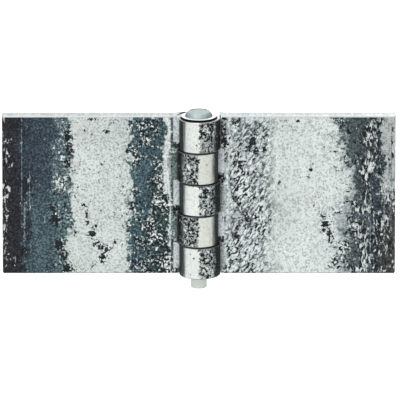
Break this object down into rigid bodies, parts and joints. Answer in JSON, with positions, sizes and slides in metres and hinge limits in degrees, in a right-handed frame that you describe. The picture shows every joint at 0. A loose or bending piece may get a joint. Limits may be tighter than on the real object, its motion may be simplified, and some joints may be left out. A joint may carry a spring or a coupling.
{
  "type": "weld-on hinge",
  "caption": "Plain steel butt hinge without screw holes, its leaves rolled into knuckles round a headed pin, for welding to a gate, door or hatch.",
  "frame": {"origin": "on the pin's axis, halfway along the pin; the middle of the leaves' height is 1.225 mm above it", "axes": "hinge open flat; +Z along the pin towards its head, -X along the three-knuckle leaf, +X along the two-knuckle leaf, +Y towards the leaves' backs, -Y the side on which the barrel stands out"},
  "size_m": [0.12, 0.0132, 0.0558],
  "materials": {
    "left_leaf": "raw hot-rolled steel, blue-grey mill scale and worn bright patches",
    "right_leaf": "raw hot-rolled steel, mostly worn bright, with dark scale near its outer edge",
    "pin": "smooth drawn steel"
  },
  "bodies": {
    "left_leaf": {"left_leaf": "left_leaf", "pin": "pin"},
    "right_leaf": {"right_leaf": "right_leaf"}
  },
  "joints": [
    {"name": "leaf_swing", "type": "hinge", "parent": "left_leaf", "child": "right_leaf", "pos_m": [0, 0, 0], "axis": [0, 0, -1], "range_deg": [-95, 180]}
  ]
}
